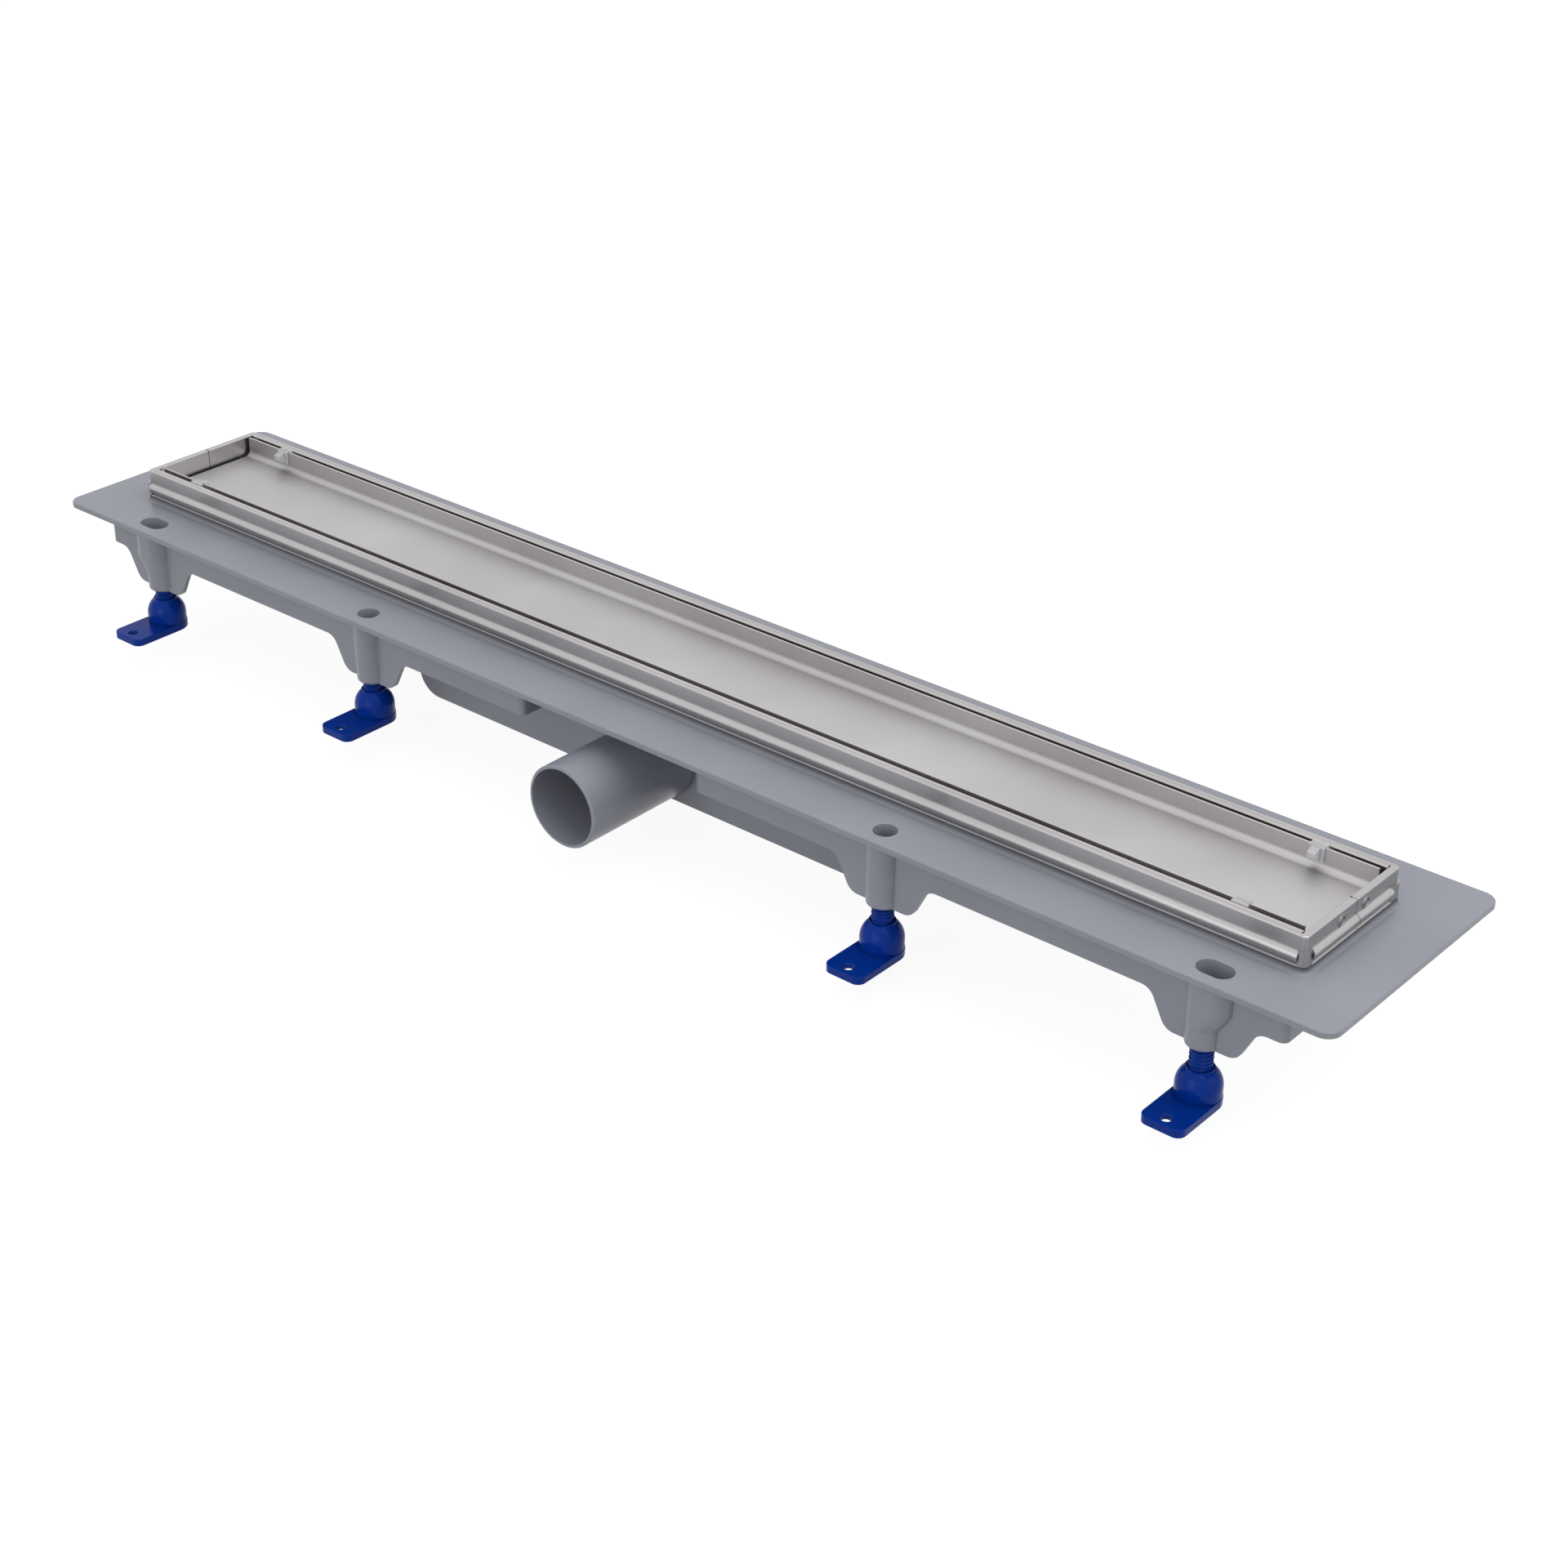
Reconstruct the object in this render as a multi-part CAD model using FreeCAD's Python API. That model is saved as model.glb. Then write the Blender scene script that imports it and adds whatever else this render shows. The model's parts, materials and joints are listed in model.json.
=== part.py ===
import FreeCAD, Part
import math
import os

# Linear shower drain with a tray for a tile.
# A grey moulded channel carries a stainless frame, and in it a tray that a tile is laid in.
# Eight threaded feet stand the channel at its height, and a waste spigot leaves to the front.
# X runs along the drain, Y to the back, Z up. The origin is the middle of the tile bed,
# which is the upper face of the tray's floor. All lengths are in millimetres.

# Overall moulding
flange_length = 945.0
flange_width = 164.2
flange_thickness = 3.5
flange_corner = 8.5
flange_edge_round = 0.8
bed_above_flange = 8.0
plinth_height = 3.6
plinth_overhang = 0.45
plinth_cove = 3.2
plinth_corner = 4.0

# Stainless frame
frame_length = 868.0
frame_width = 88.9
frame_height = 20.2
frame_sheet = 1.0
frame_corner = 2.5
frame_edge_round = 0.7
side_rim = 2.4
end_rim = 4.2
side_leaf_depth = 6.5
bead_top = 12.0
bead_bottom = 4.8
bead_reach = 2.8
foot_flare = 1.6
side_bead_setback = 3.2
end_bead_front_setback = 5.0
end_bead_rear_setback = 8.5
seam_offset = 2.5
seam_gap = 0.4
splice_length = 38.0
splice_height = 7.6
splice_sheet = 1.0
weld_spacing = 23.0
weld_radius = 1.8
weld_depth = 0.3
weld_height = 14.6

# Side rails that carry the tray
rail_top_width = 2.85
rail_sheet = 1.0
rail_lip_depth = 5.2
rail_ledge = 10.15
rail_joint_line = 0.05
rail_end_clearance = 0.3

# Tray and its spacers
tray_sheet = 1.2
tray_bend = 4.0
tray_slot = 3.2
tray_end_gap = 2.4
spacer_width = 9.0
spacer_from_end = 35.0
spacer_rise = 0.5
spacer_depth = 10.0
spacer_slot_play = 0.2
spacer_leg = 1.2
spacer_fin_width = 4.5
spacer_fin_reach = 6.2
spacer_fin_drop = 1.5
spacer_fin_tip = 3.0

# Collar and trough
collar_wall = 2.4
end_collar_wall = 1.6
fit_clearance = 0.3
collar_headroom = 0.4
trough_shoulder = 2.25
trough_wall = 2.5
trough_end_depth = 9.0
trough_middle_depth = 13.3
trough_end_inset = 3.1

# Sump under the middle of the trough
sump_left_reach = 205.0
sump_right_reach = 188.0
sump_width = 48.0
sump_depth = 70.8
sump_corner = 16.0
sump_wall = 2.5

# Waste spigot
spigot_radius = 25.0
spigot_wall = 1.9
spigot_end = 107.7
spigot_axis_depth = 43.3
spigot_chamfer = 0.6

# Skirt under the flange
skirt_length = 886.0
skirt_width = 142.0
skirt_wall = 3.0
skirt_depth = 23.5
skirt_corner = 4.0
skirt_gap = 132.0
dip_top = 61.5
dip_bottom = 41.0
dip_depth = 43.8
dip_round = 8.5

# Foot pillars
foot_row = 68.4
inner_foot = 198.0
outer_foot = 397.0
pillar_radius = 10.0
pillar_taper = 0.3
pillar_step_depth = 31.0
pillar_tip_radius = 9.4
pillar_tip_round = 2.0
pillar_depth = 44.0
key_hole_radius = 6.75
key_hole_depth = 12.0
key_slot_length = 20.5
key_slot_shift = 3.0
key_boss_depth = 21.0
web_thickness = 2.5
web_depth = 22.0

# Feet
screw_radius = 6.2
screw_clearance = 0.3
screw_length = 53.0
screw_end_chamfer = 0.8
drive_slot_width = 1.6
drive_slot_depth = 2.5
front_soles = (71.0, 70.5, 74.8, 77.7)
rear_soles = (73.0, 73.0, 73.0, 73.0)
foot_height = 20.6
foot_radius = 12.2
foot_shoulder = 10.0
foot_mouth_rim = 0.9
foot_floor = 3.5
snap_height = 2.0
snap_width = 2.5
snap_reach = 0.8
tongue_reach = 34.5
tongue_width = 25.0
tongue_thickness = 4.5
tongue_corner = 5.0
tongue_hole_radius = 2.75
tongue_hole_place = 28.0
tongue_edge_round = 0.5

# Trap that lifts out of the sump
trap_length = 120.0
trap_wall = 2.0
trap_play = 0.3
trap_top_depth = 19.0
trap_inlet_height = 14.0
weir_length = 62.0
weir_depth = 34.0
trap_tube_wall = 1.6
trap_tube_play = 0.5
trap_tube_reach = 16.0
seal_groove = 1.0
seal_radius = 0.72
seal_play = 0.05
seal_place = 9.0
lid_thickness = 2.0
lid_rim_depth = 6.0
lid_grip_length = 40.0
lid_grip_height = 9.0
lid_grip_width = 3.0

# Levels worked out from the sizes
flange_top = -bed_above_flange
flange_under = flange_top - flange_thickness
frame_top = flange_top + frame_height
plinth_top = flange_top + plinth_height
half_frame_x = frame_length / 2
half_frame_y = frame_width / 2
tray_under = -tray_sheet
rail_under = tray_under - rail_sheet
pillar_bottom = flange_top - pillar_depth
sump_bottom = flange_top - sump_depth
spigot_axis = flange_top - spigot_axis_depth

# Faces worked out from the frame
skin_inside_x = half_frame_x - frame_sheet
skin_inside_y = half_frame_y - frame_sheet
leaf_inside_x = half_frame_x - end_rim
leaf_inside_y = half_frame_y - side_rim
rail_outside = leaf_inside_y - rail_joint_line
rail_inside = rail_outside - rail_top_width
tray_half_y = rail_inside - tray_slot
tray_half_x = leaf_inside_x - tray_end_gap
collar_outside_x = skin_inside_x - fit_clearance
collar_outside_y = skin_inside_y - fit_clearance
collar_inside_x = collar_outside_x - end_collar_wall
collar_inside_y = collar_outside_y - collar_wall
collar_top = frame_top - side_leaf_depth - collar_headroom
trough_inside_x = collar_inside_x - trough_end_inset
trough_inside_y = collar_inside_y - trough_shoulder


def box(x0, x1, y0, y1, z0, z1):
    """Return a block between two corners."""
    corner = FreeCAD.Vector(x0, y0, z0)
    return Part.makeBox(x1 - x0, y1 - y0, z1 - z0, corner)


def centred_box(half_x, half_y, z0, z1):
    """Return a block centred on the Z axis."""
    return box(-half_x, half_x, -half_y, half_y, z0, z1)


def rod(radius, start, direction, length):
    """Return a round bar from a point along a direction."""
    return Part.makeCylinder(radius, length, FreeCAD.Vector(*start), FreeCAD.Vector(*direction))


def outline(to_space, start, steps):
    """Return a closed face from a start point and steps.

    A step is an end point, or a pair of a point on an arc and its end point.
    """
    edges = []
    here = start
    for step in steps + [start]:
        if isinstance(step[0], tuple):
            middle, end = step
            edges.append(Part.Arc(to_space(here), to_space(middle), to_space(end)).toShape())
        else:
            end = step
            if math.dist(here, end) > 1e-6:
                edges.append(Part.LineSegment(to_space(here), to_space(end)).toShape())
        here = end
    return Part.Face(Part.Wire(edges))


def along_x(start, steps, x0, x1):
    """Return a section in Y and Z run along X."""
    face = outline(lambda p: FreeCAD.Vector(x0, p[0], p[1]), start, steps)
    return face.extrude(FreeCAD.Vector(x1 - x0, 0, 0))


def along_y(start, steps, y0, y1):
    """Return a section in X and Z run along Y."""
    face = outline(lambda p: FreeCAD.Vector(p[0], y0, p[1]), start, steps)
    return face.extrude(FreeCAD.Vector(0, y1 - y0, 0))


def turned(start, steps, x, y, z):
    """Return a section in radius and height turned about an upright axis."""
    face = outline(lambda p: FreeCAD.Vector(x + p[0], y, z + p[1]), start, steps)
    return face.revolve(FreeCAD.Vector(x, y, z), FreeCAD.Vector(0, 0, 1), 360)


def rounded_block(half_x, half_y, radius, z0, z1):
    """Return a block whose upright edges are rounded."""
    block = centred_box(half_x, half_y, z0, z1)
    upright = [edge for edge in block.Edges if abs(edge.tangentAt(edge.FirstParameter).z) > 0.9]
    return block.makeFillet(radius, upright)


def slot_block(x, y, length, radius, z0, z1):
    """Return an upright prism with round ends, its length along X."""
    half = length / 2 - radius
    middle = box(x - half, x + half, y - radius, y + radius, z0, z1)
    ends = [rod(radius, (x + s * half, y, z0), (0, 0, 1), z1 - z0) for s in (-1, 1)]
    return middle.fuse(ends).removeSplitter()


def edges_at(shape, test):
    """Return the edges whose middle passes a test of x, y and z."""
    found = []
    for edge in shape.Edges:
        middle = edge.valueAt((edge.FirstParameter + edge.LastParameter) / 2)
        if test(middle.x, middle.y, middle.z):
            found.append(edge)
    return found


def mirrored_y(shape):
    """Return the shape's image on the other long side."""
    return shape.mirror(FreeCAD.Vector(0, 0, 0), FreeCAD.Vector(0, 1, 0))


def one_solid(shape):
    """Return the shape's only solid, cleaned of split faces."""
    solids = shape.removeSplitter().Solids
    if len(solids) != 1:
        raise ValueError("expected one solid, found %d" % len(solids))
    return solids[0]


def flange_plate():
    """Return the flange with its plinth, coved into it, and the collar on top."""
    plate = rounded_block(flange_length / 2, flange_width / 2, flange_corner, flange_under, flange_top)
    rim = edges_at(plate, lambda x, y, z: abs(z - flange_top) < 0.01)
    plate = plate.makeFillet(flange_edge_round, rim)
    reach = foot_flare - plinth_overhang
    plinth_x = half_frame_x + reach
    plinth_y = half_frame_y + reach
    plinth = rounded_block(plinth_x, plinth_y, plinth_corner, flange_under, plinth_top)
    base = plate.fuse(plinth).removeSplitter()
    inside_x = plinth_x + 1
    inside_y = plinth_y + 1
    foot_line = edges_at(base, lambda x, y, z: abs(z - flange_top) < 0.01
                         and abs(x) < inside_x and abs(y) < inside_y)
    base = base.makeFillet(plinth_cove, foot_line)
    collar = rounded_block(collar_outside_x, collar_outside_y, frame_corner, plinth_top, collar_top)
    return base.fuse(collar)


def trough_outside():
    """Return the outer block of the trough with its floor falling to the middle."""
    half_x = trough_inside_x + trough_wall
    half_y = trough_inside_y + trough_wall
    end = flange_top - trough_end_depth - trough_wall
    middle = flange_top - trough_middle_depth - trough_wall
    steps = [(half_x, flange_under), (half_x, end), (sump_right_reach, middle),
             (-sump_left_reach, middle), (-half_x, end)]
    return along_y((-half_x, flange_under), steps, -half_y, half_y)


def trough_hollow():
    """Return the space inside the collar and the trough."""
    upper = centred_box(collar_inside_x, collar_inside_y, rail_under, collar_top + 1)
    half_x = trough_inside_x
    end = flange_top - trough_end_depth
    middle = flange_top - trough_middle_depth
    steps = [(half_x, rail_under), (half_x, end), (sump_right_reach - sump_wall, middle),
             (sump_wall - sump_left_reach, middle), (-half_x, end)]
    lower = along_y((-half_x, rail_under), steps, -trough_inside_y, trough_inside_y)
    return upper.fuse(lower)


def sump_block(inset, top):
    """Return the sump's block, or the hollow in it when inset by its wall."""
    left = inset - sump_left_reach
    right = sump_right_reach - inset
    half_y = sump_width / 2 - inset
    radius = sump_corner - inset
    bottom = sump_bottom + inset
    bend = radius * (1 - math.sqrt(0.5))
    steps = [(right, top), (right, bottom + radius),
             ((right - bend, bottom + bend), (right - radius, bottom)),
             (left + radius, bottom),
             ((left + bend, bottom + bend), (left, bottom + radius))]
    return along_y((left, top), steps, -half_y, half_y)


def skirt_side(y0, y1):
    """Return one long wall of the skirt, short of its corners, with a dip at each foot."""
    bottom = flange_top - skirt_depth
    low = flange_top - dip_depth
    half_x = skirt_length / 2 - skirt_corner
    wall = box(-half_x, half_x, y0, y1, bottom, flange_under)
    for x in foot_places():
        start = (x - dip_top / 2, bottom + 1)
        steps = [(x + dip_top / 2, bottom + 1), (x + dip_top / 2, bottom),
                 (x + dip_bottom / 2, low), (x - dip_bottom / 2, low), (x - dip_top / 2, bottom)]
        dip = along_y(start, steps, y0, y1)
        tips = edges_at(dip, lambda ex, ey, ez: abs(ez - low) < 0.01
                        and abs(abs(ex - x) - dip_bottom / 2) < 0.01)
        wall = wall.fuse(dip.makeFillet(dip_round, tips))
    wall = wall.removeSplitter()
    roots = edges_at(wall, lambda ex, ey, ez: abs(ez - bottom) < 0.01 and abs(ey - (y0 + y1) / 2) < 0.01
                     and abs(ex) < half_x - 1)
    return wall.makeFillet(dip_round, roots)


def skirt():
    """Return the skirt: a wall all round with rounded corners, and the cheeks beside the spigot."""
    outside = skirt_width / 2
    inside = outside - skirt_wall
    bottom = flange_top - skirt_depth
    half_x = skirt_length / 2
    ring = rounded_block(half_x, outside, skirt_corner, bottom, flange_under)
    ring = ring.cut(centred_box(half_x - skirt_wall, inside, bottom - 1, flange_under + 1))
    ring = ring.fuse([skirt_side(-outside, -inside), skirt_side(inside, outside)])
    half_gap = skirt_gap / 2
    ring = ring.cut(box(-half_gap, half_gap, -outside - 1, 1 - inside, bottom - 1, flange_under + 1))
    sump_face = -sump_width / 2
    cheeks = [box(s * half_gap - (skirt_wall if s < 0 else 0), s * half_gap + (skirt_wall if s > 0 else 0),
                  -outside, sump_face, bottom, flange_under) for s in (-1, 1)]
    ring = ring.fuse(cheeks).removeSplitter()
    corners = edges_at(ring, lambda x, y, z: abs(abs(x) - half_gap) < 0.01 and abs(y + outside) < 0.01)
    return ring.makeFillet(skirt_corner, corners)


def foot_places():
    """Return the places of the feet along X, from the left."""
    return [-outer_foot, -inner_foot, inner_foot, outer_foot]


def slot_wire(x0, x1, y, radius, z):
    """Return a level slot outline round two centres on a line along X."""
    def at(px, py):
        return FreeCAD.Vector(px, py, z)
    near = Part.makeLine(at(x0, y - radius), at(x1, y - radius))
    right = Part.Arc(at(x1, y - radius), at(x1 + radius, y), at(x1, y + radius)).toShape()
    far = Part.makeLine(at(x1, y + radius), at(x0, y + radius))
    left = Part.Arc(at(x0, y + radius), at(x0 - radius, y), at(x0, y - radius)).toShape()
    return Part.Wire([near, right, far, left])


def key_boss(x, y):
    """Return the oblong boss round an outer key slot, drawn in to the pillar below."""
    outer = key_slot_shift + key_slot_length / 2 - key_hole_radius
    levels = ((flange_under, outer, pillar_radius), (flange_top - key_boss_depth, outer, pillar_radius),
              (flange_top - pillar_step_depth, 2 * pillar_taper, pillar_radius - pillar_taper))
    wires = []
    for z, reach, radius in levels:
        low, high = sorted((x, x + math.copysign(reach, x)))
        wires.append(slot_wire(low, high, y, radius, z))
    return Part.makeLoft(wires, True, True)


def pillar_tip(x, y):
    """Return the narrower lower end of a pillar, its lower edge rounded."""
    top = flange_top - pillar_step_depth + 1
    turn = pillar_tip_round * (1 - math.sqrt(0.5))
    steps = [(pillar_tip_radius, top), (pillar_tip_radius, pillar_bottom + pillar_tip_round),
             ((pillar_tip_radius - turn, pillar_bottom + turn),
              (pillar_tip_radius - pillar_tip_round, pillar_bottom)),
             (0, pillar_bottom)]
    return turned((0, top), steps, x, y, 0)


def pillar(x, y):
    """Return one foot pillar with its web to the trough, before it is bored."""
    step = flange_top - pillar_step_depth
    if abs(x) > inner_foot + 1:
        column = key_boss(x, y)
    else:
        steps = [(pillar_radius, flange_under), (pillar_radius - pillar_taper, step), (0, step)]
        column = turned((0, flange_under), steps, x, y, 0)
    trough_face = trough_inside_y + trough_wall
    web = box(x - web_thickness / 2, x + web_thickness / 2, trough_face, abs(y),
              flange_top - web_depth, flange_under)
    if y < 0:
        web = mirrored_y(web)
    return column.fuse([pillar_tip(x, y), web])


def pillar_hole(x, y):
    """Return the key hole in the flange with the foot's bore below it."""
    bore = rod(screw_radius + screw_clearance, (x, y, pillar_bottom - 1), (0, 0, 1), pillar_depth)
    depth = flange_top - key_hole_depth
    if abs(x) > inner_foot + 1:
        centre = x + math.copysign(key_slot_shift, x)
        return bore.fuse(slot_block(centre, y, key_slot_length, key_hole_radius, depth, flange_top + 1))
    return bore.fuse(rod(key_hole_radius, (x, y, depth), (0, 0, 1), key_hole_depth + 1))


def spigot():
    """Return the waste spigot, solid, from the sump to its chamfered end."""
    inside = -(sump_width / 2 - sump_wall)
    steps = [(spigot_radius, -inside), (spigot_radius, spigot_end - spigot_chamfer),
             (spigot_radius - spigot_chamfer, spigot_end), (0, spigot_end)]
    face = outline(lambda p: FreeCAD.Vector(p[0], -p[1], spigot_axis), (0, -inside), steps)
    return face.revolve(FreeCAD.Vector(0, 0, spigot_axis), FreeCAD.Vector(0, 1, 0), 360)


def splice_notch():
    """Return the two notches in the collar's ends that take the splice plates."""
    half_y = splice_length / 2 + fit_clearance
    low = frame_top - frame_sheet - splice_height - collar_headroom
    return box(collar_inside_x - 1, collar_outside_x + 1, -half_y, half_y, low, collar_top + 1).fuse(
        box(-collar_outside_x - 1, 1 - collar_inside_x, -half_y, half_y, low, collar_top + 1))


def channel_body():
    """Return the grey moulding: flange, collar, trough, sump, spigot, skirt and pillars."""
    rows = [(x, side * foot_row) for side in (-1, 1) for x in foot_places()]
    sump_top = flange_top - trough_end_depth
    body = flange_plate().fuse([trough_outside(), sump_block(0, sump_top), spigot(), skirt()]
                               + [pillar(x, y) for x, y in rows])
    waste = rod(spigot_radius - spigot_wall, (0, -spigot_end - 1, spigot_axis), (0, 1, 0),
                spigot_end + 1 - (sump_width / 2 - sump_wall) + 1)
    body = body.cut([trough_hollow(), sump_block(sump_wall, sump_top), waste, splice_notch()]
                    + [pillar_hole(x, y) for x, y in rows])
    return one_solid(body)


def bead_section():
    """Return the start and the steps of the bead and flared foot, as reach and height.

    Reach is measured outwards from the frame's outer face, height from the flange's top.
    """
    half = (bead_top - bead_bottom) / 2
    centre_height = bead_bottom + half
    radius = (half ** 2 + bead_reach ** 2) / (2 * bead_reach)
    centre_reach = bead_reach - radius
    inner = radius - frame_sheet
    inner_half = math.sqrt(inner ** 2 - (frame_sheet + centre_reach) ** 2)
    fall = bead_bottom - plinth_height
    slope = math.hypot(foot_flare, fall)
    inner_foot_reach = foot_flare - frame_sheet * slope / fall
    waist = plinth_height + (inner_foot_reach + frame_sheet) * fall / foot_flare
    start = (0, bead_top)
    steps = [((bead_reach, centre_height), (0, bead_bottom)),
             (foot_flare, plinth_height),
             (inner_foot_reach, plinth_height),
             (-frame_sheet, waist),
             (-frame_sheet, centre_height - inner_half),
             ((bead_reach - frame_sheet, centre_height), (-frame_sheet, centre_height + inner_half)),
             (-frame_sheet, bead_top)]
    return start, steps


def placed(section, place):
    """Return a section's start and steps with every point moved by a function."""
    start, steps = section
    moved = []
    for step in steps:
        if isinstance(step[0], tuple):
            moved.append((place(step[0]), place(step[1])))
        else:
            moved.append(place(step))
    return place(start), moved


def frame_ring():
    """Return the whole frame before its seams are cut: skin, rims, leaves and beads."""
    low = flange_top + bead_top
    skin = rounded_block(half_frame_x, half_frame_y, frame_corner, low, frame_top)
    core = rounded_block(skin_inside_x, skin_inside_y, frame_corner - frame_sheet, low - 1,
                         frame_top - frame_sheet)
    mouth = centred_box(leaf_inside_x, leaf_inside_y, low - 1, frame_top + 1)
    ring = skin.cut([core, mouth])
    leaf_x = leaf_inside_x + frame_sheet
    side_leaf = box(-leaf_x, leaf_x, leaf_inside_y, leaf_inside_y + frame_sheet,
                    frame_top - side_leaf_depth, frame_top - frame_sheet)
    lower_y = collar_inside_y - fit_clearance
    lower_top = frame_top - side_leaf_depth
    ends = []
    for x0, x1 in ((leaf_inside_x, leaf_x), (-leaf_x, -leaf_inside_x)):
        ends.append(box(x0, x1, -leaf_inside_y, leaf_inside_y, lower_top, frame_top - frame_sheet))
        ends.append(box(x0, x1, -lower_y, lower_y, rail_under + fit_clearance, lower_top))
    ring = ring.fuse([side_leaf, mirrored_y(side_leaf)] + ends).removeSplitter()
    rims = edges_at(ring, lambda x, y, z: abs(z - frame_top) < 0.01)
    ring = ring.makeFillet(frame_edge_round, rims)
    run_x = half_frame_x - side_bead_setback
    front_start = end_bead_front_setback - half_frame_y
    rear_end = half_frame_y - end_bead_rear_setback
    section = bead_section()
    front = along_x(*placed(section, lambda p: (-half_frame_y - p[0], flange_top + p[1])), -run_x, run_x)
    rear = along_x(*placed(section, lambda p: (half_frame_y + p[0], flange_top + p[1])), -run_x, run_x)
    right = along_y(*placed(section, lambda p: (half_frame_x + p[0], flange_top + p[1])),
                    front_start, rear_end)
    left = along_y(*placed(section, lambda p: (-half_frame_x - p[0], flange_top + p[1])),
                   front_start, rear_end)
    ring = ring.fuse([front, rear, right, left])
    height = flange_top + weld_height
    for side in (-1, 1):
        for place in (-1, 1):
            y = place * weld_spacing / 2
            start = (side * (half_frame_x - weld_depth), y, height)
            ring = ring.cut(rod(weld_radius, start, (side, 0, 0), 1))
    return ring


def frame_halves():
    """Return the front and the rear half, parted at a seam in each end."""
    reach = half_frame_x + 10
    low = seam_offset - seam_gap / 2
    seam = box(-reach, reach, low, low + seam_gap, rail_under - 10, frame_top + 10)
    halves = one_solid(frame_ring()).cut(seam).Solids
    front, rear = sorted(halves, key=lambda half: half.CenterOfMass.y)
    return front, rear


def splice_plate(side):
    """Return the plate behind one end's seam."""
    outer = side * skin_inside_x
    inner = side * (skin_inside_x - splice_sheet)
    top = frame_top - frame_sheet
    half = splice_length / 2
    return box(min(outer, inner), max(outer, inner), -half, half, top - splice_height, top)


def side_rail():
    """Return the rear rail: a hemmed angle whose ledge carries the tray."""
    half = leaf_inside_x - rail_end_clearance
    web = rail_inside + rail_sheet
    lip = rail_outside - rail_sheet
    lip_bottom = frame_top - rail_lip_depth
    under_top = frame_top - rail_sheet
    ledge_end = rail_inside - rail_ledge
    steps = [(rail_outside, frame_top), (rail_inside, frame_top), (rail_inside, tray_under),
             (ledge_end, tray_under), (ledge_end, rail_under), (web, rail_under), (web, under_top),
             (lip, under_top), (lip, lip_bottom)]
    rail = along_x((rail_outside, lip_bottom), steps, -half, half)
    top = edges_at(rail, lambda x, y, z: abs(z - frame_top) < 0.01 and abs(x) < half - 1)
    return one_solid(rail.makeFillet(frame_edge_round, top))


def tile_tray():
    """Return the tray: a channel with rounded bends and open ends."""
    outer = tray_bend + tray_sheet
    out_y = tray_half_y
    in_y = out_y - tray_sheet
    out_turn = outer * (1 - math.sqrt(0.5))
    in_turn = tray_bend * (1 - math.sqrt(0.5))
    steps = [(-out_y, tray_under + outer),
             ((out_turn - out_y, tray_under + out_turn), (outer - out_y, tray_under)),
             (out_y - outer, tray_under),
             ((out_y - out_turn, tray_under + out_turn), (out_y, tray_under + outer)),
             (out_y, frame_top), (in_y, frame_top), (in_y, tray_bend),
             ((in_y - in_turn, in_turn), (in_y - tray_bend, 0)),
             (tray_bend - in_y, 0),
             ((in_turn - in_y, in_turn), (-in_y, tray_bend)),
             (-in_y, frame_top)]
    return along_x((-out_y, frame_top), steps, -tray_half_x, tray_half_x)


def tray_spacer(x):
    """Return a rear spacer: a clip over the tray's wall, a pad in the slot and a fin inside."""
    inside = tray_half_y - tray_sheet
    leg = inside - spacer_leg
    pad = rail_inside - spacer_slot_play
    top = frame_top + spacer_rise
    low = tray_bend + fit_clearance
    steps = [(tray_half_y, frame_top - spacer_depth), (pad, frame_top - spacer_depth), (pad, top),
             (leg, top), (leg, low), (inside, low), (inside, frame_top)]
    half = spacer_width / 2
    clip = along_x((tray_half_y, frame_top), steps, x - half, x + half)
    tip = inside - spacer_fin_reach
    tip_top = frame_top - spacer_fin_drop
    half_fin = spacer_fin_width / 2
    fin = along_x((leg, frame_top), [(tip, tip_top), (tip, tip_top - spacer_fin_tip), (leg, low)],
                  x - half_fin, x + half_fin)
    return one_solid(clip.fuse(fin))


def foot_base(x, side, sole):
    """Return a foot's base: a dome with the screw's socket and a tongue to screw down."""
    y = side * foot_row
    socket = screw_radius + screw_clearance
    mouth = socket + foot_mouth_rim
    crown = math.acos(mouth / foot_radius)
    steps = [(foot_radius, 0), (foot_radius, foot_shoulder),
             ((foot_radius * math.cos(crown / 2), foot_shoulder + foot_radius * math.sin(crown / 2)),
              (mouth, foot_shoulder + foot_radius * math.sin(crown))),
             (mouth, foot_height), (0, foot_height)]
    dome = turned((0, 0), steps, x, y, sole)
    half = tongue_width / 2
    tip = y + side * tongue_reach
    tongue = box(x - half, x + half, min(y, tip), max(y, tip), sole, sole + tongue_thickness)
    corners = edges_at(tongue, lambda ex, ey, ez: abs(ey - tip) < 0.01 and abs(abs(ex - x) - half) < 0.01)
    tongue = tongue.makeFillet(tongue_corner, corners)
    plate = tongue.fuse(rod(half, (x, y, sole), (0, 0, 1), tongue_thickness)).removeSplitter()
    rim = edges_at(plate, lambda ex, ey, ez: abs(ez - sole - tongue_thickness) < 0.01)
    body = plate.makeFillet(tongue_edge_round, rim).fuse(dome)
    hole_y = y + side * tongue_hole_place
    hole = rod(tongue_hole_radius, (x, hole_y, sole - 1), (0, 0, 1), tongue_thickness + 2)
    groove = socket + snap_reach
    low = foot_floor + snap_height - screw_clearance
    high = foot_floor + snap_height + snap_width + screw_clearance
    steps = [(socket, foot_floor), (socket, low - snap_reach), (groove, low), (groove, high),
             (socket, high + snap_reach), (socket, foot_height + 1), (0, foot_height + 1)]
    cavity = turned((0, foot_floor), steps, x, y, sole)
    return one_solid(body.cut([hole, cavity]))


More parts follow.
